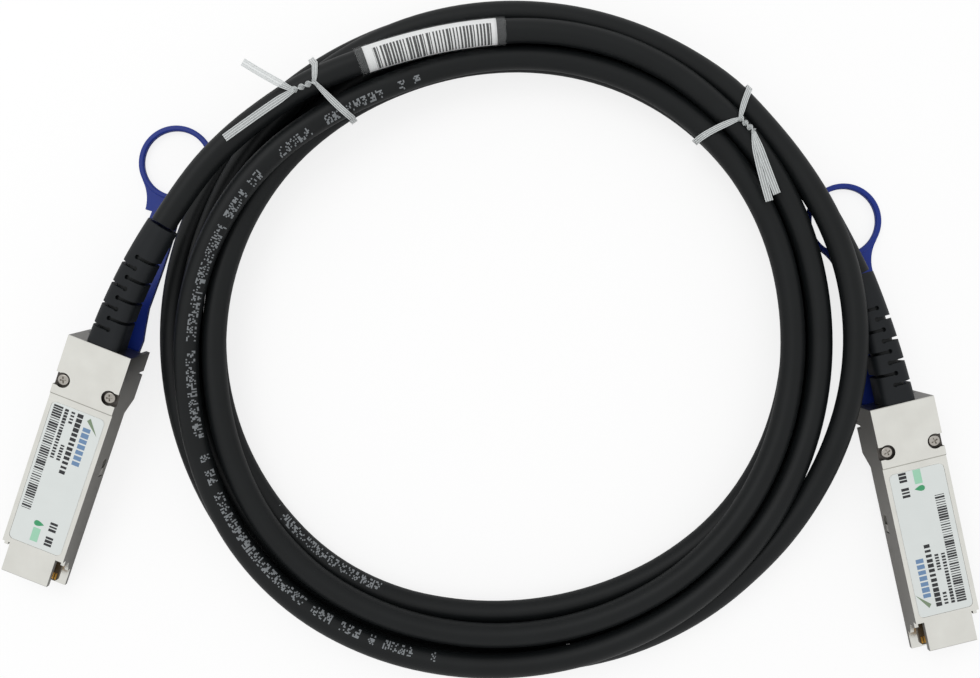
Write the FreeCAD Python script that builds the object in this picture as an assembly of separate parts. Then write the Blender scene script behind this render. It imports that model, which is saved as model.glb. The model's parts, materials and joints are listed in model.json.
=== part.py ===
"""A 3 m direct attach copper cable: a round black cable with the same pluggable end at each end.

Millimetres, +Z up, floor at Z = 0. The origin is on the floor, midway between the two plugs.
The cable is coiled flat, five turns and a half, and held by two twist ties. Each plug is
modelled once in its own frame (X towards the nose, Y across, Z up, origin at the middle of
the rear face on the underside of the body) and then laid in its place beside the coil.
"""
import math
import os

import FreeCAD
import Part
from FreeCAD import Placement, Rotation, Vector

# ---- plug housing ----
plug_width = 18.35
body_height = 8.5          # underside of the body to the label face
wall = 1.1
body_floor = 1.2
cover_edge = 1.7           # visible edge of the cover, above the seam
cover_plate = 1.2
cover_length = 71.7
base_length = 73.2
cover_side_end = 63.0      # the cover's full width stops here and its narrow hood goes on
base_side_end = 67.8       # the base's side walls stop here and its floor goes on
hood_width = 13.8
rear_wall = 2.4

# ---- head, the thicker rear end of the plug ----
head_length = 17.4
head_rise = 0.4            # above the label face
head_drop = 3.9            # below the underside of the body
head_floor = 1.5           # web between the card cavity and the release channel
rear_block = 5.8
notch_width = 1.1
notch_depth = 2.4
bulge_end = 14.6
slope_length = 3.6

# ---- release slider, its window and its springs ----
release_travel = 2.5
slider_sheet = 0.7
slider_plate = 1.0
arm_bottom = 1.5
arm_top = 3.4
arm_gap = 0.175            # between an arm and the side wall
tip_start = 35.0
tip_length = 2.2
web_start = 9.0
web_length = 3.4
spring_radius = 0.9
spring_wire = 0.32
spring_turns = 5
spring_wire_flats = 8      # the fine wire is drawn as a prism with this many sides

# ---- fasteners ----
screw_x = 12.7
screw_spread = 6.85        # from the middle to each screw
screw_head_radius = 1.6
screw_head_height = 0.9
screw_shank_radius = 0.7
screw_length = 4.4
recess_radius = 2.15
recess_depth = 1.3
rivet_x = 8.0
rivet_spread = 3.6
rivet_radius = 0.8
rivet_head_radius = 1.4
rivet_head = 0.3

# ---- label ----
label_length = 42.2
label_width = 15.6
label_thickness = 0.1
label_corner = 1.4
label_start = 19.3

# ---- paddle card, its contacts and the wires ----
card_thickness = 1.0
card_bottom = 4.0
card_start = 24.0
card_end = 70.9
card_step = 40.0           # narrow behind this, between the slider's arms
card_narrow = 13.2
card_wide = 15.8
card_chamfer = 0.6
contact_count = 19
contact_pitch = 0.8
contact_width = 0.5
contact_length = 2.0
contact_thickness = 0.05
post_radius = 0.9
wire_radius = 0.55
wire_end_spread = (1.8, 5.0)
wire_start_spread = (0.58, 1.74)
wire_land = 22.0
wire_stop = 26.5

# ---- cable, ferrule and boot ----
cable_diameter = 6.8
bundle_radius = 2.5        # the shielded bundle inside the jacket
bundle_end = 8.0
cable_axis = 4.2           # height of the cable's axis in the plug
ferrule_start = 4.4
ferrule_length = 3.4
ferrule_wall = 0.4
fit_gap = 0.05
boot_reach = 36.6          # along the plug's axis, from the rear face to the tip
boot_base = (9.4, 8.6, 2.2)    # width, height, corner radius
boot_tip = (8.3, 8.0, 3.4)
boot_neck = (8.4, 5.0)
boot_flange = (9.6, 5.8, 1.4)  # width, height, thickness
slit_width = 0.9
slit_end_radius = 0.65     # the round end of a slit
slit_pitch = 6.15
slit_start = 5.2           # from the rear face to the first slit
slit_count = 4
slit_share = 0.55          # how far a slit goes across the boot

# ---- pull tab ----
strap_thickness = 1.4
strap_root_width = 13.8
strap_neck_width = 10.0
web_fillet = 12.0          # the strap widens into the ring along this radius
ring_radius = 11.0
ring_band = 1.6
ring_height = 1.8
ring_floor_gap = 0.3
neck_start = 38.0          # behind the rear face

# ---- where the plugs lie: rear face centre, yaw, pitch, boot bend, ring place, and the side of
# the boot whose slits start half a pitch later (a boot can go in either way up) ----
plugs = {
    "left": {
        "rear": Vector(-106.4, 13.1, 10.5), "yaw": -111.4, "pitch": 7.9,
        "boot_bend": (3.8, -1.1), "ring": (54.2, -5.5), "late_side": 1,
    },
    "right": {
        "rear": Vector(115.1, -3.3, 4.83), "yaw": -76.3, "pitch": 3.6,
        "boot_bend": (-0.9, -4.4), "ring": (53.2, 1.0), "late_side": -1,
    },
}

# ---- coil, loose turn and leads: (degrees clockwise from +Y, radius, height) ----
coil_centre = Vector(4.0, 14.7, 0.0)
coil_inner = 77.0
coil_outer = 98.5
coil_bottom = 0.6
coil_top = 14.0
coil_corner = 5.0
ring_room = 3.4            # height of the pocket under the coil over each finger ring
loose_turn_route = [
    (50, 92.2, 11.6), (60, 94.2, 12.7), (70, 96.6, 13.7), (80, 98.0, 14.2), (90, 98.4, 14.3),
    (100, 98.3, 13.7), (110, 97.6, 12.5), (120, 96.3, 10.8), (130, 94.6, 8.8),
]
left_lead_route = [
    (288.3, 98.6, 18.6), (296.6, 96.1, 18.8), (305.8, 93.0, 18.6), (315.0, 89.9, 18.3),
    (324.2, 87.4, 18.3), (337.9, 86.0, 18.3), (351.6, 85.8, 18.3), (5.4, 86.1, 17.9),
    (17.5, 86.7, 15.9), (28.0, 87.2, 13.4), (38.0, 87.4, 10.6),
]
right_lead_route = [
    (79.9, 103.0, 6.9), (73.0, 100.2, 7.0), (65.6, 97.2, 6.9), (57.6, 94.2, 5.3), (50.0, 92.4, 4.2),
]

# ---- sleeve and its slip of paper, on the left lead ----
sleeve_runs = (4, 6)       # from the middle of this run of the lead to the middle of that one
sleeve_wall = 0.28
slip_wall = 0.15
slip_margin = 2.4

# ---- twist ties ----
tie_width = 2.0
tie_thickness = 0.4
tie_gap = 0.15
tie_corner = 3.0
knot_radius = 1.4
left_tie_angle = 325.0
left_tie_shoulder = 10.8   # height where the tie leaves the coil's sides for the lead on top
left_tie_slack = 0.45      # the lead crosses the tie at a slant
right_tie_angle = 44.5

half_width = plug_width / 2
seam = body_height - cover_edge
cable_radius = cable_diameter / 2
cavity_half = half_width - wall
cavity_top = body_height - cover_plate
channel_top = body_floor - head_floor
plate_top = channel_top - 0.6
plate_bottom = plate_top - slider_plate
strap_middle = plate_bottom - strap_thickness / 2
arm_outer = cavity_half - arm_gap
ring_middle = ring_floor_gap + ring_height / 2


# ---------------------------------------------------------------- helpers
def block(x0, x1, y0, y1, z0, z1):
    return Part.makeBox(x1 - x0, y1 - y0, z1 - z0, Vector(x0, y0, z0))


def rod(x, y, z0, z1, radius):
    return Part.makeCylinder(radius, z1 - z0, Vector(x, y, z0))


def fused(pieces):
    return pieces[0].multiFuse(pieces[1:]).removeSplitter()


def side_profile(points, width):
    """A closed outline in the XZ plane, extruded evenly to both sides of Y = 0."""
    corners = [Vector(x, -width / 2, z) for x, z in points]
    face = Part.Face(Part.makePolygon(corners + corners[:1]))
    return face.extrude(Vector(0, width, 0))


def plan_prism(points, z0, z1):
    """A closed outline in the XY plane, extruded from z0 to z1."""
    corners = [Vector(x, y, z0) for x, y in points]
    face = Part.Face(Part.makePolygon(corners + corners[:1]))
    return face.extrude(Vector(0, 0, z1 - z0))


def rounded_plate(x0, x1, width, corner, z0, z1):
    plate = block(x0, x1, -width / 2, width / 2, z0, z1)
    upright = [e for e in plate.Edges if abs(e.tangentAt(e.FirstParameter).z) > 0.9]
    return plate.makeFillet(corner, upright)


def corner_arcs(points):
    """For each inner point of a route: where its arc starts, its middle, its end and its radius."""
    arcs = []
    for before, here, after in zip(points, points[1:], points[2:]):
        back = before - here
        ahead = after - here
        setback = 0.45 * min(back.Length, ahead.Length)
        back.normalize()
        ahead.normalize()
        half_turn = (math.pi - back.getAngle(ahead)) / 2
        radius = setback / math.tan(half_turn)
        inward = (back + ahead).normalize()
        middle = here + inward * (radius / math.cos(half_turn) - radius)
        arcs.append((here + back * setback, middle, here + ahead * setback, radius))
    return arcs


def route_edges(points):
    """Straight runs joined by tangent arcs."""
    edges = []
    at = points[0]
    for start, middle, end, _ in corner_arcs(points):
        edges.append(Part.LineSegment(at, start).toShape())
        edges.append(Part.Arc(start, middle, end).toShape())
        at = end
    edges.append(Part.LineSegment(at, points[-1]).toShape())
    return edges


def stretch(edges, start, end):
    """The part of a chain of edges between two distances along it."""
    kept = []
    passed = 0.0
    for edge in edges:
        length = edge.Length
        low = max(start - passed, 0.0)
        high = min(end - passed, length)
        if high - low > 1e-6:
            first = edge.FirstParameter
            scale = (edge.LastParameter - first) / length
            kept.append(edge.Curve.toShape(first + low * scale, first + high * scale))
        passed += length
    return kept


def tube(edges, outer, inner=0.0):
    """A round tube, or a solid cord, swept along a chain of edges."""
    path = Part.Wire(edges)
    start = edges[0].valueAt(edges[0].FirstParameter)
    along = edges[0].tangentAt(edges[0].FirstParameter)
    solids = []
    for radius in (outer, inner):
        if radius:
            ring = Part.Wire(Part.makeCircle(radius, start, along))
            solids.append(path.makePipeShell([ring], True, False))
    return solids[0] if len(solids) == 1 else solids[0].cut(solids[1])


# ---------------------------------------------------------------- plug pieces, in the plug's frame
def base_shell():
    notch_end = rear_block + notch_width
    notch_round = notch_width / 2
    outline = [
        (0, -head_drop), (rear_block, -head_drop), (rear_block, notch_depth - head_drop),
        (notch_end, notch_depth - head_drop), (notch_end, -head_drop), (bulge_end, -head_drop),
        (bulge_end + slope_length, 0), (base_length, 0), (base_length, body_floor),
        (base_side_end, body_floor), (base_side_end, 2.6), (base_side_end - 1.6, 3.4),
        (cover_side_end + 1.7, 3.9), (cover_side_end + 1.7, seam), (0, seam),
    ]
    shell = side_profile(outline, plug_width)
    notch_crown = Part.makeCylinder(
        notch_round, plug_width,
        Vector(rear_block + notch_round, -half_width, notch_depth - head_drop), Vector(0, 1, 0),
    )
    cavity = block(rear_wall, base_length + 1, -cavity_half, cavity_half, body_floor, seam + 1)
    channel = block(-1, bulge_end - 0.6, -cavity_half, cavity_half, -head_drop - 1, channel_top)
    neck_width, neck_height = boot_neck
    boot_slot = block(
        -1, rear_wall + 1, -neck_width / 2 - fit_gap, neck_width / 2 + fit_gap,
        cable_axis - neck_height / 2 - fit_gap, seam + 1,
    )
    shell = shell.cut(notch_crown).cut(cavity).cut(channel).cut(boot_slot)
    adds = []
    cuts = []
    for side in (-1, 1):
        y_inner, y_outer = sorted((side * (arm_outer - slider_sheet - 0.15), side * (cavity_half - 0.001)))
        cuts.append(block(
            web_start - release_travel - 0.3, web_start + web_length + 0.3,
            y_inner, y_outer, channel_top - 1, body_floor + 1,
        ))
        y_inner, y_outer = sorted((side * (cavity_half - 1), side * (half_width + 1)))
        cuts.append(block(
            tip_start - release_travel - 0.3, tip_start + tip_length + 0.3,
            y_inner, y_outer, arm_bottom, arm_top,
        ))
        boss = rod(screw_x, side * screw_spread, arm_top + 0.4, seam, screw_shank_radius + 0.7)
        web = block(
            screw_x - 0.8, screw_x + 0.8, *sorted((side * screw_spread, side * (cavity_half + 0.2))),
            arm_top + 0.4, seam,
        )
        adds.append(boss.fuse(web))
        cuts.append(rod(screw_x, side * screw_spread, arm_top, seam + 1, screw_shank_radius + fit_gap))
        for x, y in card_posts():
            adds.append(rod(x, side * y, body_floor - 0.2, card_bottom, post_radius))
    shell = fused([shell] + adds)
    for cutter in cuts:
        shell = shell.cut(cutter)
    return shell


def card_posts():
    """Where the base carries the card: distance from the rear face, distance from the middle."""
    return [(card_start + 6.5, 3.4), (card_end - 12.0, card_wide / 2 - 1.6)]


def cover_shell():
    top = body_height + head_rise
    outline = [
        (0, seam), (cover_length, seam), (cover_length, body_height - 0.3),
        (cover_length - 0.3, body_height), (head_length, body_height),
        (head_length - head_rise, top), (0.2, top), (0, top - 0.2),
    ]
    cover = side_profile(outline, plug_width)
    cover = cover.cut(block(
        rear_wall, cover_side_end - 1.0, -cavity_half, cavity_half, seam - 1, cavity_top,
    ))
    cover = cover.cut(block(
        cover_side_end - 2, cover_length + 1, -hood_width / 2 + 0.8, hood_width / 2 - 0.8,
        seam - 1, cavity_top,
    ))
    cover = cover.cut(rounded_plate(
        label_start - 0.1, label_start + label_length + 0.1, label_width + 0.2, label_corner,
        body_height - label_thickness, top + 1,
    ))
    recess_floor = top - recess_depth
    for side in (-1, 1):
        y = side * screw_spread
        cover = cover.cut(block(
            cover_side_end, cover_length + 1, *sorted((side * hood_width / 2, side * plug_width)),
            seam - 1, top + 1,
        ))
        boss = rod(screw_x, y, seam, cavity_top, recess_radius - 0.6)
        cover = cover.fuse(boss)
        cover = cover.cut(rod(screw_x, y, recess_floor, top + 1, recess_radius))
        cover = cover.cut(block(
            screw_x - recess_radius + 0.3, screw_x + recess_radius - 0.3,
            *sorted((y, side * plug_width)), recess_floor, top + 1,
        ))
        cover = cover.cut(rod(screw_x, y, seam - 1, top + 1, screw_shank_radius + 0.1))
    return cover.removeSplitter()


def cover_screws():
    seat = body_height + head_rise - recess_depth
    screws = []
    for side in (-1, 1):
        y = side * screw_spread
        head = rod(screw_x, y, seat, seat + screw_head_height, screw_head_radius)
        rim = [e for e in head.Edges if e.BoundBox.ZMin > seat + screw_head_height - 0.01]
        head = head.makeFillet(0.35, rim)
        shank = rod(screw_x, y, seat - screw_length + 1.2, seat, screw_shank_radius)
        screw = head.fuse(shank)
        for turn in (0, 90):
            slot = Part.makeBox(1.9, 0.42, 0.6, Vector(-0.95, -0.21, 0))
            slot.rotate(Vector(), Vector(0, 0, 1), turn + 20)
            slot.translate(Vector(screw_x, y, seat + screw_head_height - 0.5))
            screw = screw.cut(slot)
        screws.append(screw)
    return Part.makeCompound(screws)


def label():
    return rounded_plate(
        label_start, label_start + label_length, label_width, label_corner,
        body_height - label_thickness, body_height,
    )


def paddle_card():
    near, far = card_narrow / 2, card_wide / 2
    outline = [
        (card_start, -near), (card_step, -near), (card_step + 1, -far),
        (card_end - card_chamfer, -far), (card_end, -far + card_chamfer),
        (card_end, far - card_chamfer), (card_end - card_chamfer, far),
        (card_step + 1, far), (card_step, near), (card_start, near),
    ]
    return plan_prism(outline, card_bottom, card_bottom + card_thickness)


def contacts():
    first = -(contact_count - 1) * contact_pitch / 2
    card_top = card_bottom + card_thickness
    fingers = []
    for number in range(contact_count):
        y = first + number * contact_pitch
        for z in (card_top, card_bottom - contact_thickness):
            fingers.append(block(
                card_end - 0.4 - contact_length, card_end - 0.4,
                y - contact_width / 2, y + contact_width / 2, z, z + contact_thickness,
            ))
    return Part.makeCompound(fingers)


def wire_pairs():
    wires = []
    for row in (-1, 1):
        card_face = card_bottom + card_thickness if row > 0 else card_bottom
        z_end = card_face + row * (wire_radius + 0.02)
        z_start = cable_axis + row * wire_start_spread[0]
        for side in (-1, 1):
            for near, far in zip(wire_start_spread, wire_end_spread):
                start = Vector(bundle_end, side * near, z_start)
                land = Vector(wire_land, side * far, z_end)
                rings = [
                    Part.Wire(Part.makeCircle(wire_radius, p, Vector(1, 0, 0))) for p in (start, land)
                ]
                fan = Part.makeLoft(rings, True, True)
                flat = Part.makeCylinder(wire_radius, wire_stop - wire_land, land, Vector(1, 0, 0))
                wires.append(fan.fuse(flat))
    return Part.makeCompound(wires)


def crimp_ferrule():
    at = Vector(ferrule_start, 0, cable_axis)
    along = Vector(1, 0, 0)
    bore = bundle_radius + fit_gap
    sleeve = Part.makeCylinder(bore + ferrule_wall, ferrule_length, at, along)
    return sleeve.cut(Part.makeCylinder(bore, ferrule_length, at, along))


def boot_arc(bend):
    """Radius, full angle and bending direction of the boot's axis."""
    sideways = math.hypot(*bend)
    angle = 2 * math.atan(sideways / boot_reach)
    return boot_reach / math.sin(angle), angle, Vector(0, bend[0], bend[1]).normalize()


def boot_point(bend, share):
    """Point and direction on the boot's axis, at a share of the way to its tip."""
    radius, full, aside = boot_arc(bend)
    angle = full * share
    point = Vector(-radius * math.sin(angle), 0, cable_axis) + aside * (radius * (1 - math.cos(angle)))
    along = Vector(-math.cos(angle), 0, 0) + aside * math.sin(angle)
    return point, along


def boot_edge(bend, share0, share1):
    points = [boot_point(bend, s)[0] for s in (share0, (share0 + share1) / 2, share1)]
    return Part.Arc(*points).toShape()


def rounded_section(width, height, corner, point, along):
    plate = rounded_plate(-height / 2, height / 2, width, corner, 0, 1)
    ring = [f for f in plate.Faces if f.CenterOfMass.z < 1e-6][0].OuterWire
    ring = ring.copy()
    ring.rotate(Vector(), Vector(0, 1, 0), 90)
    turn = Rotation(Vector(-1, 0, 0), along)
    ring.Placement = Placement(point, turn).multiply(ring.Placement)
    return ring


def boot(bend, late_side):
    sections = []
    for step in range(5):
        share = step / 4
        width, height, corner = (a + (b - a) * share for a, b in zip(boot_base, boot_tip))
        sections.append(rounded_section(width, height, corner, *boot_point(bend, share)))
    body = Part.makeLoft(sections, True, False)
    arc_length = boot_arc(bend)[0] * boot_arc(bend)[1]
    for side in (-1, 1):
        for number in range(slit_count):
            along_axis = slit_start + number * slit_pitch + (slit_pitch / 2 if side == late_side else 0)
            share = along_axis / arc_length
            width = boot_base[0] + (boot_tip[0] - boot_base[0]) * share
            near = side * (width / 2 - slit_share * width)
            slit = block(-slit_width / 2, slit_width / 2, *sorted((near, side * width)), -8, 8)
            slit = slit.fuse(rod(0, near, -8, 8, slit_end_radius))
            point, along = boot_point(bend, share)
            slit.Placement = Placement(point, Rotation(Vector(-1, 0, 0), along))
            body = body.cut(slit)
    neck_width, neck_height = boot_neck
    flange_width, flange_height, flange_thickness = boot_flange
    z_neck, z_flange = neck_height / 2, flange_height / 2
    neck = block(
        0, rear_wall + 0.1, -neck_width / 2, neck_width / 2, cable_axis - z_neck, cable_axis + z_neck,
    )
    flange = block(
        rear_wall + fit_gap, rear_wall + fit_gap + flange_thickness,
        -flange_width / 2, flange_width / 2, cable_axis - z_flange, cable_axis + z_flange,
    )
    body = fused([body, neck, flange])
    inner = Part.makeCylinder(bundle_radius + fit_gap, 12, Vector(-2, 0, cable_axis), Vector(1, 0, 0))
    bore = tube([boot_edge(bend, 0.03, 1.02)], cable_radius + fit_gap)
    return body.cut(inner).cut(bore)


def cable_end(bend):
    """The last of the cable, inside the boot, with the jacket stripped inside the head."""
    jacket = tube([boot_edge(bend, 0.035, 1.0)], cable_radius)
    start = boot_point(bend, 0.035)[0].x
    bundle = Part.makeCylinder(
        bundle_radius, bundle_end - start + 0.5, Vector(start - 0.5, 0, cable_axis), Vector(1, 0, 0),
    )
    return fused([jacket, bundle])


def release_slider():
    plate = block(
        rear_block - 1.8, bulge_end - 1.1, -arm_outer, arm_outer, plate_bottom, plate_top,
    )
    pieces = [plate]
    for side in (-1, 1):
        inner, outer = sorted((side * (arm_outer - slider_sheet), side * arm_outer))
        pieces.append(block(web_start, web_start + web_length, inner, outer, plate_bottom, arm_top - 0.15))
        pieces.append(block(
            web_start, tip_start + tip_length, inner, outer, arm_bottom + 0.15, arm_top - 0.15,
        ))
        pieces.append(block(
            tip_start, tip_start + tip_length, *sorted((side * arm_outer, side * (half_width - 0.1))),
            arm_bottom + 0.15, arm_top - 0.15,
        ))
        seat_in, seat_out = sorted((side * (arm_outer - 2.6), side * arm_outer))
        pieces.append(block(
            web_start, web_start + slider_sheet, seat_in, seat_out, arm_bottom + 0.15, arm_top - 0.15,
        ))
    slider = fused(pieces)
    for side in (-1, 1):
        slider = slider.cut(rod(
            rivet_x, side * rivet_spread, plate_bottom - 1, plate_top + 1, rivet_radius + fit_gap,
        ))
    return slider


def tab_rivets():
    low = plate_bottom - strap_thickness
    rivets = []
    for side in (-1, 1):
        y = side * rivet_spread
        rivets.append(fused([
            rod(rivet_x, y, low - rivet_head, low, rivet_head_radius),
            rod(rivet_x, y, low - 0.1, plate_top + 0.1, rivet_radius),
            rod(rivet_x, y, plate_top, plate_top + rivet_head, rivet_head_radius),
        ]))
    return Part.makeCompound(rivets)


def return_springs():
    start = rear_wall + spring_wire + fit_gap
    length = web_start - 2 * spring_wire - 2 * fit_gap - rear_wall
    middle = spring_radius - spring_wire / 2
    height = (arm_bottom + arm_top) / 2
    wire_radius = spring_wire / 2
    turns = [2 * math.pi * i / spring_wire_flats for i in range(spring_wire_flats + 1)]
    corners = [Vector(middle + wire_radius * math.cos(a), 0, wire_radius * math.sin(a)) for a in turns]
    springs = []
    for side in (-1, 1):
        path = Part.makeHelix(length / spring_turns, length, middle)
        section = Part.makePolygon(corners)
        coil = Part.Wire(path).makePipeShell([section], True, True)
        coil.rotate(Vector(), Vector(0, 1, 0), 90)
        coil.translate(Vector(start, side * (arm_outer - 1.35), height))
        springs.append(coil)
    return Part.makeCompound(springs)


# ---------------------------------------------------------------- pull tab, level with the floor
def ring_web(centre, ring_back, ring_side):
    """Where the strap widens into the ring: an arc on each side, touching the ring and the strap."""
    towards = Vector(ring_back, -ring_side, 0).normalize()
    across = Vector(-towards.y, towards.x, 0)
    half = strap_neck_width / 2
    rise = half + web_fillet
    reach = math.sqrt((ring_radius + web_fillet) ** 2 - rise ** 2)
    share = ring_radius / (ring_radius + web_fillet)
    arcs, on_ring, on_strap = [], [], []
    for side in (1, -1):
        hub = centre + towards * reach + across * (side * rise)
        on_ring.append(centre + towards * (reach * share) + across * (side * rise * share))
        on_strap.append(centre + towards * reach + across * (side * half))
        inward = (on_ring[-1] - hub) + (on_strap[-1] - hub)
        arcs.append(Part.Arc(on_ring[-1], hub + inward.normalize() * web_fillet, on_strap[-1]).toShape())
    ends = [Part.makeLine(*on_ring), Part.makeLine(*on_strap)]
    outline = Part.Wire(Part.__sortEdges__(arcs + ends))
    return Part.Face(outline).extrude(Vector(0, 0, strap_thickness))


def pull_tab(place):
    """Strap and finger ring. Built in a level frame at the rear face: X towards the nose, Z up."""
    pitch = math.radians(place["pitch"])
    rear_height = place["rear"].z
    ring_back, ring_side = place["ring"]

    def level(x, z):
        return Vector(x * math.cos(pitch) + z * math.sin(pitch), 0, z * math.cos(pitch) - x * math.sin(pitch))

    floor = ring_middle - rear_height
    route = [
        level(bulge_end - 2.2, strap_middle), level(-1.5, strap_middle),
        Vector(-neck_start + 8, 0, floor), Vector(-ring_back, 0, floor),
    ]
    edges = route_edges(route)
    across = strap_root_width
    along = edges[0].tangentAt(edges[0].FirstParameter)
    half = strap_thickness / 2
    corners = [
        Vector(-half, -across / 2, 0), Vector(half, -across / 2, 0),
        Vector(half, across / 2, 0), Vector(-half, across / 2, 0),
    ]
    section = Part.makePolygon(corners + corners[:1])
    section.Placement = Placement(route[0], Rotation(Vector(0, 0, 1), along))
    band = Part.Wire(edges).makePipeShell([section], True, False)
    slant = ring_side / ring_back

    def outline(share):
        points = [
            (-bulge_end, strap_root_width / 2), (3.0, strap_root_width / 2),
            (12.0, strap_root_width / 2 - 1.6), (neck_start, strap_neck_width / 2),
            (ring_back, strap_neck_width / 2 + 0.4),
        ]
        return [(-x, max(x, 0) * slant + share * half_span) for x, half_span in points]

    plan = plan_prism(outline(1) + outline(-1)[::-1], -rear_height - 5, 5)
    web_base = Vector(-ring_back, ring_side, floor - strap_thickness / 2)
    strap = band.common(plan).fuse(ring_web(web_base, ring_back, ring_side))
    centre = Vector(-ring_back, ring_side, floor - ring_height / 2)
    strap = strap.cut(Part.makeCylinder(ring_radius - ring_band / 2, 40, centre - Vector(0, 0, 20)))
    outer = Part.makeCylinder(ring_radius, ring_height, centre)
    ring = outer.cut(Part.makeCylinder(ring_radius - ring_band, ring_height, centre))
    ring = ring.makeFillet(0.5, [e for e in ring.Edges if e.Curve.TypeId == "Part::GeomCircle"])
    tab = strap.fuse(ring)
    for side in (-1, 1):
        low = level(rivet_x, plate_bottom - strap_thickness - 1)
        high = level(rivet_x, plate_top)
        axis = high - low
        low.y = side * rivet_spread
        tab = tab.cut(Part.makeCylinder(rivet_radius + fit_gap, axis.Length, low, axis))
    return tab


# ---------------------------------------------------------------- cable, sleeve and ties
def coil_point(angle, radius, height):
    turn = math.radians(angle)
    return coil_centre + Vector(radius * math.sin(turn), radius * math.cos(turn), height)


def lead(name, route):
    points = [coil_point(*stop) for stop in route]
    edges = route_edges(points)
    solid = tube(edges, cable_radius)
    length = sum(e.Length for e in edges)
    radii = [round(arc[3]) for arc in corner_arcs(points)]
    print(name, "length", round(length, 1), "radii", radii,
          "volume over section x length", round(solid.Volume / (math.pi * cable_radius ** 2 * length), 4))
    return solid


def ring_centre(place):
    back, side = place["ring"]
    yaw = math.radians(place["yaw"])
    rearward = Vector(-math.cos(yaw), -math.sin(yaw), 0)
    across = Vector(-math.sin(yaw), math.cos(yaw), 0)
    at = place["rear"] + rearward * back + across * side
    return Vector(at.x, at.y, 0), rearward


def cable_coil():
    """The outer shape of the turns, with room underneath for the finger rings."""
    section = block(coil_inner, coil_outer, 0, 1, coil_bottom, coil_top)
    long_edges = [e for e in section.Edges if abs(e.tangentAt(e.FirstParameter).y) > 0.9]
    section = section.makeFillet(coil_corner, long_edges)
    face = [f for f in section.Faces if abs(f.CenterOfMass.y) < 1e-6][0]
    ring = face.revolve(Vector(0, 0, 0), Vector(0, 0, 1), 360)
    ring.translate(coil_centre)
    for place in plugs.values():
        at, rearward = ring_centre(place)
        for shift in (-1.0, release_travel + 1.0):
            spot = at + rearward * shift
            ring = ring.cut(rod(spot.x, spot.y, -1, ring_room, ring_radius + 0.8))
    return ring


def sleeve_path():
    points = [coil_point(*stop) for stop in left_lead_route]
    edges = route_edges(points)
    lengths = [e.Length for e in edges]
    first, last = (round(run) for run in sleeve_runs)
    start = sum(lengths[:2 * first]) + lengths[2 * first] / 2
    end = sum(lengths[:2 * last]) + lengths[2 * last] / 2
    return edges, start, end


def id_sleeve():
    edges, start, end = sleeve_path()
    inner = cable_radius + fit_gap + slip_wall + fit_gap
    return tube(stretch(edges, start, end), inner + sleeve_wall, inner)


def id_slip():
    edges, start, end = sleeve_path()
    inner = cable_radius + fit_gap
    return tube(stretch(edges, start + slip_margin, end - slip_margin), inner + slip_wall, inner)


def rounded_loop(points, corner):
    """A closed outline in the XZ plane with every corner rounded."""
    edges = []
    count = len(points)
    stops = []
    for number, here in enumerate(points):
        back = (points[number - 1] - here).normalize()
        ahead = (points[(number + 1) % count] - here).normalize()
        half_turn = (math.pi - back.getAngle(ahead)) / 2
        setback = corner * math.tan(half_turn)
        inward = (back + ahead).normalize()
        middle = here + inward * (corner / math.cos(half_turn) - corner)
        stops.append((here + back * setback, middle, here + ahead * setback))
    for number, (start, middle, end) in enumerate(stops):
        edges.append(Part.Arc(start, middle, end).toShape())
        edges.append(Part.LineSegment(end, stops[(number + 1) % count][0]).toShape())
    return Part.Wire(edges)


def tie_loop(profile, angle):
    """A flat strip closed round the coil's section, in the upright plane at an angle."""
    inner = rounded_loop([Vector(r, -tie_width / 2, z) for r, z in profile], tie_corner)
    outer = inner.makeOffset2D(tie_thickness)
    across = Vector(0, tie_width, 0)
    band = Part.Face(outer).extrude(across).cut(Part.Face(inner).extrude(across))
    band.rotate(Vector(), Vector(0, 0, 1), 90 - angle)
    band.translate(coil_centre)
    return band


def strip(route):
    """A flat strip, wide side up, along a route given round the coil."""
    points = [coil_point(*stop) for stop in route]
    edges = route_edges(points)
    along = edges[0].tangentAt(edges[0].FirstParameter)
    across = along.cross(Vector(0, 0, 1)).normalize()
    up = across.cross(along)
    side, thick = across * (tie_width / 2), up * (tie_thickness / 2)
    at = points[0]
    corners = [at - side - thick, at - side + thick, at + side + thick, at + side - thick]
    section = Part.makePolygon(corners + corners[:1])
    return Part.Wire(edges).makePipeShell([section], True, False)


def twist_tie(profile, angle, knot, tails):
    knot_start, knot_end = (coil_point(*stop) for stop in knot)
    axis = knot_end - knot_start
    pieces = [tie_loop(profile, angle), Part.makeCylinder(knot_radius, axis.Length, knot_start, axis)]
    pieces += [strip(route) for route in tails]
    return fused(pieces)


def left_tie():
    low = coil_bottom - tie_gap
    inner, outer = coil_inner - tie_gap, coil_outer + tie_gap
    lead_radius, lead_height = left_lead_route[4][1:]
    top = lead_height + cable_radius + 2 * tie_gap
    ridge = cable_radius + tie_gap + left_tie_slack
    profile = [
        (inner, low), (outer, low), (outer, left_tie_shoulder), (lead_radius + ridge, top),
        (lead_radius - ridge, top), (inner, left_tie_shoulder),
    ]
    knot = [(324.6, 88.6, top + 0.9), (318.6, 91.4, top + 1.2)]
    tails = [
        [(318.9, 91.3, top + 1.2), (317.4, 97.4, top + 0.4), (316.4, 105.2, top - 2.8)],
        [(318.9, 91.3, top + 1.2), (312.0, 93.2, top + 1.4), (306.3, 94.6, top + 1.3)],
    ]
    return twist_tie(profile, left_tie_angle, knot, tails)


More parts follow.
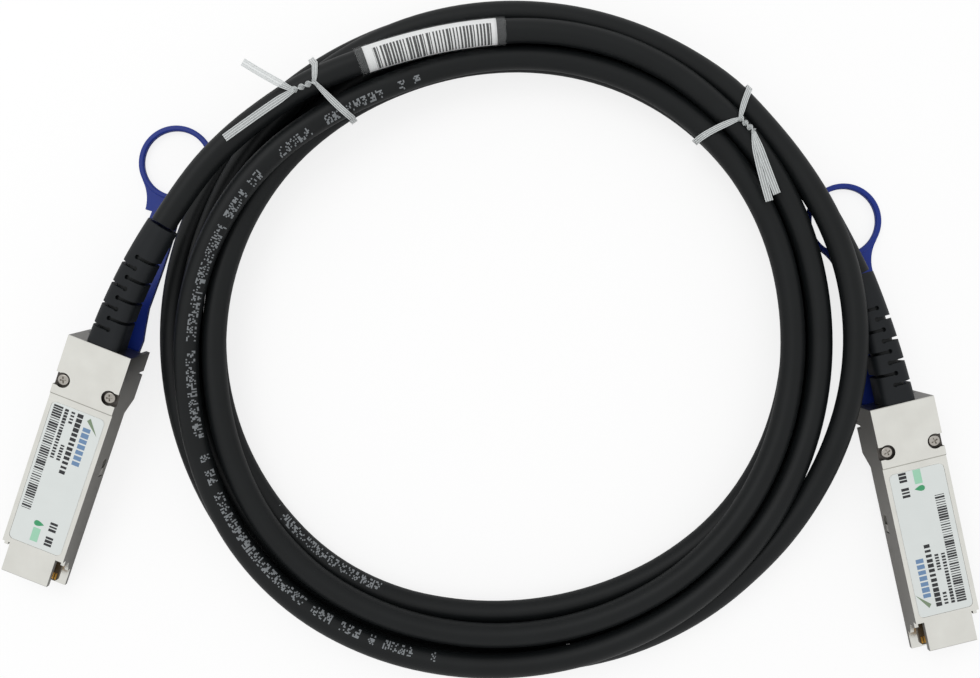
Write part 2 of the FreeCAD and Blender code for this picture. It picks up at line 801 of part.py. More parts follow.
def right_tie():
    low = coil_bottom - tie_gap
    inner, outer = coil_inner - tie_gap, coil_outer + tie_gap
    top = coil_top + tie_gap
    profile = [(inner, low), (outer, low), (outer, top), (inner, top)]
    knot = [(45.2, 91.5, top + 1.3), (49.6, 90.4, top + 1.5)]
    tails = [
        [(49.2, 90.6, top + 1.3), (56.0, 88.4, top + 1.1), (62.6, 84.6, top + 0.7)],
        [(49.2, 90.6, top + 1.5), (56.0, 90.2, top + 1.8), (62.4, 87.8, top + 1.6)],
    ]
    return twist_tie(profile, right_tie_angle, knot, tails)


# ---------------------------------------------------------------- assembly
def plug_pieces(place):
    bend = place["boot_bend"]
    return {
        "base_shell": base_shell(),
        "cover_shell": cover_shell(),
        "cover_screws": cover_screws(),
        "label": label(),
        "paddle_card": paddle_card(),
        "contacts": contacts(),
        "wire_pairs": wire_pairs(),
        "crimp_ferrule": crimp_ferrule(),
        "cable_end": cable_end(bend),
        "boot": boot(bend, place["late_side"]),
        "release_slider": release_slider(),
        "tab_rivets": tab_rivets(),
        "return_springs": return_springs(),
    }


def place_shape(shape, rear, yaw, pitch):
    shape.Placement = Placement(rear, Rotation(yaw, pitch, 0)).multiply(shape.Placement)
    return shape


nodes = {}
for side_name, place in plugs.items():
    for piece_name, piece in plug_pieces(place).items():
        nodes[f"{side_name}_{piece_name}"] = place_shape(piece, place["rear"], place["yaw"], place["pitch"])
    nodes[f"{side_name}_pull_tab"] = place_shape(pull_tab(place), place["rear"], place["yaw"], 0)

nodes["cable_coil"] = cable_coil()
nodes["loose_turn"] = lead("loose turn", loose_turn_route)
nodes["left_cable_lead"] = lead("left lead", left_lead_route)
nodes["right_cable_lead"] = lead("right lead", right_lead_route)
nodes["id_sleeve"] = id_sleeve()
nodes["id_slip"] = id_slip()
nodes["left_tie"] = left_tie()
nodes["right_tie"] = right_tie()

os.makedirs("parts", exist_ok=True)
for node_name, shape in nodes.items():
    shape.exportStep(f"parts/{node_name}.step")
print(len(nodes), "nodes written")
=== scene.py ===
import json
import math
import bmesh
import bpy
from mathutils import Matrix, Vector


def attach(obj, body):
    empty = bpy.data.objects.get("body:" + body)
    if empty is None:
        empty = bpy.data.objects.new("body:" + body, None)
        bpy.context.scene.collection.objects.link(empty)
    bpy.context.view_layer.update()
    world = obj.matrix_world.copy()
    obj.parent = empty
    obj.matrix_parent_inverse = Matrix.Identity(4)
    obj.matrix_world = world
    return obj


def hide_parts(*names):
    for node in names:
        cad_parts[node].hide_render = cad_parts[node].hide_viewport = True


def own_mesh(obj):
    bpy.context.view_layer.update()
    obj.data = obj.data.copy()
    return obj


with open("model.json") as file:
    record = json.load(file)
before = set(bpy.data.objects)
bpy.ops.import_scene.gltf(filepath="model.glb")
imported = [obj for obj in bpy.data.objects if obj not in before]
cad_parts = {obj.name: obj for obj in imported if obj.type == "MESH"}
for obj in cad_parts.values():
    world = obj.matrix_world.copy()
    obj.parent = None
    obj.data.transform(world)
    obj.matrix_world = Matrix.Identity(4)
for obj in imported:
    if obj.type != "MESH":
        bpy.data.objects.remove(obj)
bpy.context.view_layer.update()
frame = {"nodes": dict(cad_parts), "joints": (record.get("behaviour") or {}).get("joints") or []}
nodes = frame["nodes"]
mm = 0.001
print("frame:", len(nodes), "nodes")


def linear(colour):
    # an sRGB hex value as the linear colour that the sockets take
    parts = [int(colour[i:i + 2], 16) / 255 for i in (1, 3, 5)]
    return [c / 12.92 if c <= 0.04045 else ((c + 0.055) / 1.055) ** 2.4 for c in parts] + [1.0]


def add(tree, kind, inputs=(), **settings):
    # one node: its settings, then its inputs, each a value or a socket to link from
    node = tree.nodes.new(kind)
    for name, value in settings.items():
        setattr(node, name, value)
    for name, value in dict(inputs).items():
        if isinstance(value, bpy.types.NodeSocket):
            tree.links.new(value, node.inputs[name])
        else:
            node.inputs[name].default_value = value
    return node


def calc(tree, operation, *values):
    # one step of arithmetic on sockets or numbers
    return add(tree, "ShaderNodeMath", dict(enumerate(values)), operation=operation).outputs[0]


def blended(tree, share, first, second):
    # from the first colour to the second by a share
    inputs = {"Factor": share, "A": first, "B": second}
    return add(tree, "ShaderNodeMix", inputs, data_type="RGBA").outputs["Result"]


def placed(name, data):
    # an object in the scene for a mesh, a curve, a lamp or the camera
    obj = bpy.data.objects.new(name, data)
    bpy.context.scene.collection.objects.link(obj)
    return obj


def finishedMesh(source):
    # the object's shape with its modifiers applied
    bpy.context.view_layer.update()
    made = source.evaluated_get(bpy.context.evaluated_depsgraph_get())
    return bpy.data.meshes.new_from_object(made)


def newMaterial(name, **values):
    # a shader's sockets by name, with _ for a space
    material = bpy.data.materials.new(name)
    material.use_nodes = True
    tree = material.node_tree
    shader = tree.nodes["Principled BSDF"]
    for socket, value in values.items():
        shader.inputs[socket.replace("_", " ")].default_value = value
    return material, tree, shader


def grain(tree, shader, size, depth):
    # a fine bump; size is the width of one grain, depth how far it stands, both in metres
    place = add(tree, "ShaderNodeTexCoord")
    noise = add(tree, "ShaderNodeTexNoise",
                {"Vector": place.outputs["Object"], "Scale": 1 / size, "Detail": 3.0})
    bump = add(tree, "ShaderNodeBump", {"Height": noise.outputs["Fac"], "Distance": depth})
    tree.links.new(bump.outputs[0], shader.inputs["Normal"])


def mottle(tree, light, dark, size):
    # slow change of tone between two colours, as handling and casting leave
    place = add(tree, "ShaderNodeTexCoord")
    noise = add(tree, "ShaderNodeTexNoise",
                {"Vector": place.outputs["Object"], "Scale": 1 / size, "Detail": 4.0})
    return blended(tree, noise.outputs["Fac"], linear(light), linear(dark))


# PVC cable jacket, extruded: black with a soft long highlight and small pale marks in places;
# bare is the share of a mark's dots left out, blank the share of cells without a mark
jacketLook = {
    "colour": "#0d0f10", "worn": "#141718", "marks": "#83878a", "roughness": 0.46, "sheen": 0.2,
    "grain": 0.5 * mm, "depth": 0.006 * mm, "patch": 9 * mm, "bare": 0.58, "blank": 0.16,
    "markPitch": 2.3 * mm, "markHeight": 2.1 * mm, "markPlace": 2.0 * mm, "columns": 6, "rows": 6,
}


def between(tree, value, low, high):
    over, under = calc(tree, "GREATER_THAN", value, low), calc(tree, "LESS_THAN", value, high)
    return calc(tree, "MULTIPLY", over, under)


# print lies on one half of the cable's section only
printedHalf = (-1.0, 0.0)


def printPlace(tree):
    # where a point lies: along the piece, and its two places across the section
    along = add(tree, "ShaderNodeAttribute", attribute_name="along").outputs["Fac"]
    across = add(tree, "ShaderNodeAttribute", attribute_name="across").outputs["Vector"]
    sides = add(tree, "ShaderNodeSeparateXYZ", {"Vector": across})
    return along, sides.outputs["X"], sides.outputs["Y"]


def jacketMaterial(printed):
    # the marks are random dots in cells along the cable, in the stretches given
    look = jacketLook
    material, tree, shader = newMaterial(
        "extruded_black_pvc", Roughness=look["roughness"], Specular_IOR_Level=look["sheen"])
    grain(tree, shader, look["grain"], look["depth"])
    tone = mottle(tree, look["colour"], look["worn"], look["patch"])
    along, x, y = printPlace(tree)
    cells = calc(tree, "MULTIPLY", along, 1 / look["markPitch"])
    cell, within = calc(tree, "FLOOR", cells), calc(tree, "FRACT", cells)
    column = calc(tree, "FLOOR", calc(tree, "MULTIPLY", within, look["columns"]))
    height = add(tree, "ShaderNodeMapRange", {
        "Value": x, "From Min": look["markPlace"] - look["markHeight"] / 2,
        "From Max": look["markPlace"] + look["markHeight"] / 2, "To Max": look["rows"],
    }, clamp=False).outputs[0]
    row = calc(tree, "FLOOR", height)
    dotPlace = add(tree, "ShaderNodeCombineXYZ", {"X": cell, "Y": column, "Z": row})
    dot = add(tree, "ShaderNodeTexWhiteNoise", {"Vector": dotPlace.outputs[0]}, noise_dimensions="3D")
    word = add(tree, "ShaderNodeTexWhiteNoise", {"W": cell}, noise_dimensions="1D")
    mask = calc(tree, "GREATER_THAN", dot.outputs["Value"], look["bare"])
    stretches = [between(tree, along, *stretch) for stretch in printed]
    for limit in (between(tree, word.outputs["Value"], look["blank"], 2.0),
                  between(tree, column, -0.5, look["columns"] - 1.5),
                  between(tree, row, -0.5, look["rows"] - 0.5),
                  between(tree, y, *printedHalf), calc(tree, "ADD", *stretches)):
        mask = calc(tree, "MULTIPLY", mask, limit)
    inked = blended(tree, mask, tone, linear(look["marks"]))
    tree.links.new(inked, shader.inputs["Base Color"])
    return material


plainGrain = {"size": 0.4 * mm, "depth": 0.004 * mm, "patch": 5 * mm}


def plainMaterial(name, colour, roughness, metallic=0.0, darker=None, sheen=0.5, alpha=1.0):
    material, tree, shader = newMaterial(
        name, Base_Color=linear(colour), Roughness=roughness, Metallic=metallic,
        Specular_IOR_Level=sheen, Alpha=alpha)
    grain(tree, shader, plainGrain["size"], plainGrain["depth"])
    if darker:
        tone = mottle(tree, colour, darker, plainGrain["patch"])
        tree.links.new(tone, shader.inputs["Base Color"])
    return material


mouldedRubber = plainMaterial("moulded_black_rubber", "#121518", 0.52, 0.0, "#191c1f", sheen=0.22)
labelFilm = plainMaterial("white_polyester_label", "#e9eeec", 0.38, 0.0, "#e3e8e6")
bluePlastic = plainMaterial("moulded_blue_nylon", "#1b3590", 0.36, 0.0, "#16297c", sheen=0.25)
boardLaminate = plainMaterial("solder_masked_board", "#4a3a22", 0.4, 0.0, "#3a2d1a")
hardGold = plainMaterial("hard_gold_plate", "#d9a54e", 0.28, 1.0)
steelStrip = plainMaterial("stamped_stainless_strip", "#a9a7a3", 0.34, 1.0, "#8f8d89")
springWire = plainMaterial("music_wire", "#8d8c8a", 0.3, 1.0)
screwMetal = plainMaterial("nickel_plated_screw", "#b9b5ae", 0.3, 1.0, "#98948d")
crimpMetal = plainMaterial("tinned_brass_ferrule", "#b8b2a4", 0.32, 1.0, "#a29c8e")
wireJacket = plainMaterial("extruded_polyolefin_wire", "#3a5a9c", 0.42)
tieFilm = plainMaterial("clear_polyethylene_strip", "#e6eaea", 0.3, alpha=0.38)
tieRidge = plainMaterial("drawn_polyethylene_ridge", "#dde1e1", 0.3)


def nickelMaterial():
    # die-cast zinc under satin nickel, in a slow random tone; the walls are painted a darker grey as
    # painted shade, and faces marked as sunk get painted shade and grime
    look = {
        "flat": "#dfdfd9", "cloudy": "#cecdc7", "wall": "#7a7874", "shade": "#4e4b48",
        "roughness": 0.34, "grit": 0.12 * mm, "depth": 0.003 * mm, "patch": 6 * mm,
        "wallLevel": 0.35, "flatLevel": 0.85,
    }
    material, tree, shader = newMaterial(
        "satin_nickel_on_zinc", Roughness=look["roughness"], Metallic=1.0)
    grain(tree, shader, look["grit"], look["depth"])
    tone = mottle(tree, look["flat"], look["cloudy"], look["patch"])
    facing = add(tree, "ShaderNodeSeparateXYZ", {
        "Vector": add(tree, "ShaderNodeTexCoord").outputs["Normal"],
    })
    share = add(tree, "ShaderNodeMapRange", {
        "Value": calc(tree, "ABSOLUTE", facing.outputs["Z"]),
        "From Min": look["wallLevel"], "From Max": look["flatLevel"],
    })
    # the walls take the darker wall colour by how far they turn from up: painted shade
    metalWithShadedWalls = blended(tree, share.outputs[0], linear(look["wall"]), tone)
    # faces marked as sunk, the floors of the screw recesses, take the shade colour: painted shade and
    # grime
    sunk = add(tree, "ShaderNodeAttribute", attribute_name="sunk").outputs["Fac"]
    shaded = blended(tree, sunk, metalWithShadedWalls, linear(look["shade"]))
    tree.links.new(shaded, shader.inputs["Base Color"])
    return material


def barredMaterial():
    # white paper with printed bars across it; the bars follow the length of the piece
    look = {
        "paper": "#f7f8f8", "ink": "#0c0c0e", "roughness": 0.6, "bar": 0.93 * mm,
        "first": 2.5 * mm, "last": 35.9 * mm, "thin": 0.3, "thick": 0.85,
        "edges": (-1.4 * mm, 3.5 * mm),
    }
    material, tree, shader = newMaterial("printed_paper_slip", Roughness=look["roughness"])
    along, x, y = printPlace(tree)
    count = calc(tree, "MULTIPLY", along, 1 / look["bar"])
    whole, within = calc(tree, "FLOOR", count), calc(tree, "FRACT", count)
    chance = add(tree, "ShaderNodeTexWhiteNoise", {"W": whole}, noise_dimensions="1D")
    width = add(tree, "ShaderNodeMapRange", {
        "Value": chance.outputs["Value"], "To Min": look["thin"], "To Max": look["thick"],
    })
    mask = calc(tree, "LESS_THAN", within, width.outputs[0])
    for limit in (between(tree, along, look["first"], look["last"]),
                  between(tree, x, *look["edges"]), between(tree, y, *printedHalf)):
        mask = calc(tree, "MULTIPLY", mask, limit)
    inked = blended(tree, mask, linear(look["paper"]), linear(look["ink"]))
    tree.links.new(inked, shader.inputs["Base Color"])
    return material


satinNickel = nickelMaterial()
slipPaper = barredMaterial()
labelInk = plainMaterial("black_label_ink", "#1b1c20", 0.5)
blueInk = plainMaterial("grey_blue_label_ink", "#6f8fb5", 0.5)
greenInk = plainMaterial("green_label_ink", "#3f9f6c", 0.5)
paleInk = plainMaterial("pale_green_label_ink", "#a5dbbd", 0.5)
oliveInk = plainMaterial("grey_green_label_ink", "#7f9277", 0.5)
clearFilm = plainMaterial("clear_shrink_film", "#c9cccc", 0.14, alpha=0.07)
print("materials made")


def runTree(source, tree, values, name):
    # puts the tree on the object, takes the result as a plain mesh and drops the source
    modifier = source.modifiers.new("shape", "NODES")
    modifier.node_group = tree
    for item in tree.interface.items_tree:
        if item.in_out == "INPUT" and item.name in values:
            modifier[item.identifier] = values[item.name]
    mesh = finishedMesh(source)
    source.modifiers.remove(modifier)
    bpy.data.objects.remove(source)
    return placed(name, mesh)


def newTree(name, sockets):
    tree = bpy.data.node_groups.new(name, "GeometryNodeTree")
    tree.interface.new_socket("Geometry", in_out="INPUT", socket_type="NodeSocketGeometry")
    for label, kind in sockets.items():
        tree.interface.new_socket(label, in_out="INPUT", socket_type="NodeSocket" + kind)
    tree.interface.new_socket("Geometry", in_out="OUTPUT", socket_type="NodeSocketGeometry")
    start = tree.nodes.new("NodeGroupInput")
    return tree, start.outputs


def endTree(tree, shape, material):
    # every tree ends in real geometry with its material set, here or before
    last = add(tree, "GeometryNodeRealizeInstances", {"Geometry": shape})
    if material:
        last = add(tree, "GeometryNodeSetMaterial", {"Geometry": last.outputs[0], "Material": material})
    end = tree.nodes.new("NodeGroupOutput")
    tree.links.new(last.outputs[0], end.inputs[0])
    return tree


# the cord: one length from the left boot, round the coil, to the right boot, 5.4 turns in all;
# places on it are degrees clockwise from +Y, counted on from turn to turn
cord = {
    "length": 3.0, "diameter": 6.8 * mm, "centre": (4.0 * mm, 14.7 * mm),
    "turns": (412, 1840), "lastTurn": (1944, 2197), "pointsPerTurn": 24,
    "printed": [(552, 703), (1286, 1313)],
    "steps": 8, "sides": 28, "ringSpacing": 3.2 * mm, "endGap": 0.3,
}
# the leads and the loose turn: degrees clockwise from +Y, radius and height in mm
leftLead = [
    (288.3, 98.6, 18.6), (296.6, 96.1, 18.8), (305.8, 93.0, 18.6), (315.0, 90.1, 18.1),
    (324.2, 88.3, 17.2), (337.9, 85.4, 16.0), (351.6, 85.0, 15.3), (365.4, 86.2, 14.7),
    (377.5, 87.3, 14.2), (388.0, 88.0, 13.6), (398.0, 88.3, 13.0),
]
looseTurn = [
    (50, 94.8, 10.8), (60, 95.7, 11.6), (70, 97.2, 12.8), (80, 98.2, 13.8), (90, 98.6, 14.2),
    (100, 98.5, 13.7), (110, 98.0, 12.3), (120, 97.6, 10.2), (130, 97.5, 7.6),
]
rightLead = [
    (50.0, 96.2, 4.0), (57.6, 96.8, 5.0), (65.6, 98.0, 6.9), (73.0, 100.2, 7.0), (79.9, 103.0, 6.9),
]
# where the turns lie: degrees, distance outside the inmost lane, height of the centre, in mm
lanes = [
    (400, 4.4, 13.0), (425, 4.5, 11.0), (450, 5.2, 10.2), (495, 10.1, 10.2), (525, 12.0, 10.2),
    (570, 12.6, 10.4), (585, 11.6, 10.8), (600, 9.4, 11.4), (615, 5.8, 13.4), (645, 3.3, 15.2),
    (660, 1.3, 16.2), (675, -0.6, 15.4), (690, -2.9, 12.8), (705, -2.5, 11.0), (735, -1.2, 10.2),
    (750, -1.2, 10.2), (780, -2.5, 10.2), (810, -2.5, 10.2), (855, 2.7, 10.2), (870, 3.7, 10.2),
    (930, 3.6, 10.2), (945, 3.0, 10.2), (975, -1.5, 10.6), (990, -2.2, 10.7), (1020, -1.8, 10.2),
    (1035, -1.5, 9.0), (1050, -1.4, 6.0), (1065, -1.0, 4.2), (1110, -0.2, 4.0), (1155, -0.5, 4.0),
    (1185, 0.3, 4.0), (1200, 1.2, 4.0), (1215, 1.0, 4.0), (1245, -0.7, 4.0), (1275, -0.7, 4.0),
    (1290, 0.3, 4.0), (1320, -0.6, 4.0), (1365, 0.2, 4.0), (1380, 1.4, 4.0), (1410, 5.2, 4.0),
    (1425, 6.2, 4.0), (1500, 5.8, 4.0), (1545, 7.0, 4.0), (1560, 7.9, 4.0), (1605, 7.3, 4.0),
    (1620, 6.4, 4.0), (1650, 7.0, 4.0), (1680, 5.8, 5.0), (1695, 5.7, 6.8), (1710, 5.8, 7.4),
    (1725, 6.6, 6.6), (1740, 7.6, 7.2), (1755, 8.6, 9.0), (1770, 9.6, 10.2), (1785, 10.6, 10.6),
    (1840, 10.8, 10.8), (1944, 15.7, 5.4), (1950, 15.9, 4.6), (1980, 13.1, 4.0), (2025, 12.8, 4.0),
    (2055, 11.6, 4.0), (2100, 13.0, 4.0), (2160, 12.2, 4.0), (2200, 12.1, 4.0),
]


# the inmost lane is a little oval, with two wide places and two narrow ones in each turn
oval = {"radius": 82.5, "swell": 2.1, "widest": 73}


def inmostLane(degrees):
    return oval["radius"] + oval["swell"] * math.cos(2 * math.radians(degrees - oval["widest"]))


def laneAt(degrees):
    # a smooth way through the lane stops
    k = max(i for i, stop in enumerate(lanes) if stop[0] <= degrees)
    k = min(k, len(lanes) - 2)
    around = [lanes[min(max(k + i, 0), len(lanes) - 1)] for i in (-1, 0, 1, 2)]
    span = around[2][0] - around[1][0]
    share = (degrees - around[1][0]) / span
    result = []
    for axis in (1, 2):
        before, here, there, after = (stop[axis] for stop in around)
        slopeHere = (there - before) / max(around[2][0] - around[0][0], 1) * span
        slopeThere = (after - here) / max(around[3][0] - around[1][0], 1) * span
        result.append((2 * share ** 3 - 3 * share ** 2 + 1) * here
                      + (share ** 3 - 2 * share ** 2 + share) * slopeHere
                      + (3 * share ** 2 - 2 * share ** 3) * there
                      + (share ** 3 - share ** 2) * slopeThere)
    return result


def coilPoint(degrees, radius, height):
    turn = math.radians(degrees)
    x, y = cord["centre"]
    return Vector((x + radius * mm * math.sin(turn), y + radius * mm * math.cos(turn), height * mm))


def coilStretch(first, last):
    # the turns between two leads; the curve runs inside its points, so they stand out by that much
    step = 360 / cord["pointsPerTurn"]
    reach = 1 / math.cos(math.pi / cord["pointsPerTurn"])
    count = round((last - first) / step)
    points = []
    for i in range(count + 1):
        degrees = first + i * (last - first) / count
        offset, height = laneAt(degrees)
        points.append(coilPoint(degrees, (inmostLane(degrees) + offset) * reach, height))
    return points


def cordPoints():
    points = [coilPoint(*stop) for stop in leftLead]
    points += coilStretch(*cord["turns"])
    points += [coilPoint(*stop) for stop in looseTurn]
    points += coilStretch(*cord["lastTurn"])
    points += [coilPoint(*stop) for stop in rightLead]
    return points


def nurbsCurve(name, points):
    data = bpy.data.curves.new(name, "CURVE")
    data.dimensions = "3D"
    data.resolution_u = cord["steps"]
    spline = data.splines.new("NURBS")
    spline.points.add(len(points) - 1)
    for place, point in zip(spline.points, points):
        place.co = (*point, 1.0)
    spline.order_u = 3
    spline.use_endpoint_u = True
    return placed(name, data)


def followPoints(curve):
    # the points that the finished line runs through
    mesh = bpy.data.meshes.new_from_object(curve)
    points = [v.co.copy() for v in mesh.vertices]
    bpy.data.meshes.remove(mesh)
    return points


def unwrapped(points):
    # for each point of the line: its degrees round the coil and its distance from the start
    found, degrees, along = [], leftLead[0][0], 0.0
    x, y = cord["centre"]
    for i, point in enumerate(points):
        bearing = math.degrees(math.atan2(point.x - x, point.y - y))
        degrees += (bearing - degrees + 180) % 360 - 180
        along += (point - points[i - 1]).length if i else 0.0
        found.append((degrees, along))
    return found


def stopAt(degrees):
    # the line's point at one place round the coil, and its distance from the line's start
    k = next(i for i, stop in enumerate(turned) if stop[0] > degrees)
    low, high = turned[k - 1], turned[k]
    share = (degrees - low[0]) / (high[0] - low[0])
    return cordPath[k - 1].lerp(cordPath[k], share), low[1] + share * (high[1] - low[1])


def pathBetween(first, last):
    # the line between two places; points that would crowd its ends are left out
    gap = cord["endGap"]
    inner = [point for point, stop in zip(cordPath, turned) if first + gap < stop[0] < last - gap]
    return [stopAt(first)[0], *inner, stopAt(last)[0]]


def polyCurve(name, points, widths=None, tilts=None):
    data = bpy.data.curves.new(name, "CURVE")
    data.dimensions = "3D"
    spline = data.splines.new("POLY")
    spline.points.add(len(points) - 1)
    for i, point in enumerate(points):
        place = spline.points[i]
        place.co = (*point, 1.0)
        place.radius = widths[i] if widths else 1.0
        place.tilt = tilts[i] if tilts else 0.0
    return placed(name, data)


def tubeTree():
    tree, given = newTree("cord tube", {
        "Radius": "Float", "Sides": "Int", "Spacing": "Float", "Ends": "Bool", "Material": "Material",
    })
    line = add(tree, "GeometryNodeResampleCurve",
               {"Curve": given["Geometry"], "Length": given["Spacing"]}, mode="LENGTH")
    upright = add(tree, "GeometryNodeSetCurveNormal", {"Curve": line.outputs[0]}, mode="Z_UP")
    along = add(tree, "GeometryNodeSplineParameter")
    marked = add(tree, "GeometryNodeStoreNamedAttribute",
                 {"Geometry": upright.outputs[0], "Name": "along", "Value": along.outputs["Length"]},
                 data_type="FLOAT", domain="POINT")
    circle = add(tree, "GeometryNodeCurvePrimitiveCircle",
                 {"Resolution": given["Sides"], "Radius": given["Radius"]})
    place = add(tree, "GeometryNodeInputPosition")
    ring = add(tree, "GeometryNodeStoreNamedAttribute",
               {"Geometry": circle.outputs[0], "Name": "across", "Value": place.outputs[0]},
               data_type="FLOAT_VECTOR", domain="POINT")
    tube = add(tree, "GeometryNodeCurveToMesh", {
        "Curve": marked.outputs[0], "Profile Curve": ring.outputs[0], "Fill Caps": given["Ends"],
    })
    smooth = add(tree, "GeometryNodeSetShadeSmooth", {"Geometry": tube.outputs[0]})
    return endTree(tree, smooth.outputs[0], given["Material"])


cordTube = tubeTree()
cordLine = nurbsCurve("cable_line", cordPoints())
cordPath = followPoints(cordLine)
turned = unwrapped(cordPath)
jacketPvc = jacketMaterial([(stopAt(first)[1], stopAt(last)[1]) for first, last in cord["printed"]])
cable = runTree(cordLine, cordTube, {
    "Radius": cord["diameter"] / 2, "Sides": cord["sides"],
    "Spacing": cord["ringSpacing"], "Material": jacketPvc, "Ends": True,
}, "cable_jacket")
print("cord:", len(cordPath), "points on its line")

finishes = {
    "base_shell": satinNickel, "cover_shell": satinNickel, "cover_screws": screwMetal,
    "label": labelFilm, "paddle_card": boardLaminate, "contacts": hardGold,
    "wire_pairs": wireJacket, "crimp_ferrule": crimpMetal, "cable_end": jacketPvc,
    "boot": mouldedRubber, "release_slider": steelStrip, "tab_rivets": screwMetal,
    "return_springs": springWire, "pull_tab": bluePlastic, "cable_coil": jacketPvc,
    "loose_turn": jacketPvc, "cable_lead": jacketPvc, "id_sleeve": clearFilm,
    "id_slip": slipPaper, "tie": tieFilm,
}
for name, obj in nodes.items():
    plain = name.replace("left_", "").replace("right_", "")
    obj.data.materials.clear()
    obj.data.materials.append(finishes[plain])

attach(cable, "root")
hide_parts("cable_coil", "loose_turn", "left_cable_lead", "right_cable_lead")

# clear heat-shrink sleeve with a paper slip under it, both round the left lead
sleeve = {
    "degrees": (331.9, 360.2), "slipDegrees": (333.4, 358.5), "sides": 40,
    "air": 0.05 * mm, "slip": 0.12 * mm, "film": 0.28 * mm, "spacing": 1.0 * mm,
}


def thicken(piece, thickness):
    # an open tube becomes a wall, outwards
    modifier = piece.modifiers.new("wall", "SOLIDIFY")
    modifier.thickness, modifier.offset = thickness, 1.0
    mesh = finishedMesh(piece)
    piece.modifiers.clear()
    piece.data = mesh


def wrapTube(name, degrees, radius, wall, material):
    line = polyCurve(name + "_line", pathBetween(*degrees))
    piece = runTree(line, cordTube, {
        "Radius": radius, "Sides": sleeve["sides"], "Spacing": sleeve["spacing"], "Material": material,
        "Ends": False,
    }, name)
    thicken(piece, wall)
    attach(piece, "root")
    return piece


slipRadius = cord["diameter"] / 2 + sleeve["air"]
slip = wrapTube("paper_slip", sleeve["slipDegrees"], slipRadius, sleeve["slip"], slipPaper)
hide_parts("id_slip")
filmRadius = cord["diameter"] / 2 + 2 * sleeve["air"] + sleeve["slip"]
film = wrapTube("shrink_sleeve", sleeve["degrees"], filmRadius, sleeve["film"], clearFilm)
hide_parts("id_sleeve")
print("sleeve and slip made")

# twist ties: a clear strip with drawn ridges, laid round the turns, twisted and left with two tails
tie = {
    "width": 2.05 * mm, "film": 0.12 * mm, "ridge": 0.13 * mm, "ridges": (-0.46, -0.17, 0.17, 0.46),
    "gap": 0.25 * mm, "slack": 0.7 * mm, "directions": 72, "loopShare": 0.85, "near": 40 * mm,
    "span": 1.2 * mm,
    "knotShare": 0.5, "knotTurns": 1.5, "knotRadius": 0.55 * mm, "knotFilm": 0.5 * mm, "knotSteps": 40,
    "knotLoose": 0.9, "knotPull": 0.3, "knotEnds": 0.75, "knotSwell": 0.2,
    "tailSteps": 16, "tailSpread": 1.5, "ridgeSides": 8,
}
# per tie: where it goes round, the knot's radius, how far it is pulled along the turns and how the loop
# bows on its way there, then steps in mm from the knot's start to its end and from there along each
# tail; a tail's last number is its rise
tiePlaces = {
    "left_tie": {
        "degrees": 325.2, "knotRadius": 86.5, "pull": -2.9, "bow": (0.7, 1.2), "knot": (-5.5, -2.4),
        "tails": [((-5.0, 2.0), (-13.9, 7.7), 0.6), ((-4.0, -2.4), (-18.6, -13.2), 0.0)],
    },
    "right_tie": {
        "degrees": 44.5, "knotRadius": 88.9, "pull": 4.1, "bow": (1.4, 1.3), "knot": (3.8, -3.6),
        "tails": [((0.4, -6.0), (4.4, -19.3), 0.2), ((1.8, -6.0), (6.5, -17.3), 0.5)],
    },
}


def stripTree(name, mode):
    # a film with round ridges, swept along the line
    tree, given = newTree(name, {
        "Width": "Float", "Film": "Float", "Ridge": "Float", "Across": "Vector",
        "Clear": "Material", "Drawn": "Material",
    })
    line = add(tree, "GeometryNodeSetCurveNormal", {"Curve": given["Geometry"]}, mode=mode)
    if mode == "FREE":
        tree.links.new(given["Across"], line.inputs["Normal"])
    share = add(tree, "GeometryNodeInputRadius")
    film = add(tree, "GeometryNodeCurvePrimitiveQuadrilateral",
               {"Width": given["Width"], "Height": given["Film"]})
    drawn = add(tree, "GeometryNodeJoinGeometry")
    for place in tie["ridges"]:
        ridge = add(tree, "GeometryNodeCurvePrimitiveCircle",
                    {"Resolution": tie["ridgeSides"], "Radius": given["Ridge"]})
        step = add(tree, "ShaderNodeCombineXYZ", {"X": calc(tree, "MULTIPLY", given["Width"], place)})
        moved = add(tree, "GeometryNodeTransform",
                    {"Geometry": ridge.outputs[0], "Translation": step.outputs[0]})
        tree.links.new(moved.outputs[0], drawn.inputs[0])
    whole = add(tree, "GeometryNodeJoinGeometry")
    for profile, material in ((film, "Clear"), (drawn, "Drawn")):
        swept = add(tree, "GeometryNodeCurveToMesh", {
            "Curve": line.outputs[0], "Profile Curve": profile.outputs[0], "Fill Caps": True,
            "Scale": share.outputs[0],
        })
        dressed = add(tree, "GeometryNodeSetMaterial",
                      {"Geometry": swept.outputs[0], "Material": given[material]})
        tree.links.new(dressed.outputs[0], whole.inputs[0])
    return endTree(tree, whole.outputs[0], None)


stripFree, stripLevel = stripTree("tie strip round the coil", "FREE"), stripTree("tie tail", "Z_UP")


def strandsAt(degrees):
    # radius and height of each pass of the cord at one place round the coil
    found = []
    x, y = cord["centre"]
    for k in range(1, len(turned)):
        low, high = turned[k - 1][0], turned[k][0]
        if math.floor((high - degrees) / 360) > math.floor((low - degrees) / 360):
            point = cordPath[k]
            found.append((math.hypot(point.x - x, point.y - y), point.z))
    return found


def bundleOutline(strands, gap):
    # a line round all the strands, from the top outwards and back, looser at its two sides
    outline = []
    for i in range(tie["directions"]):
        turn = math.radians(90 - 360 * i / tie["directions"])
        out, up = math.cos(turn), math.sin(turn)
        radius, height = max(strands, key=lambda strand: strand[0] * out + strand[1] * up)
        reach = cord["diameter"] / 2 + gap + tie["slack"] * abs(out)
        outline.append((radius + reach * out, max(height + reach * up, 2 * tie["ridge"])))
    return outline


def topAt(near, x, y):
    # how high the turns reach above one place, or the floor where there are none
    reach, best = cord["diameter"] / 2, 0.0
    for low, high in near:
        for share in (0.0, 0.25, 0.5, 0.75):
            point = low.lerp(high, share)
            off = (point.x - x) ** 2 + (point.y - y) ** 2
            if off < reach ** 2:
                best = max(best, point.z + math.sqrt(reach ** 2 - off))
    return best


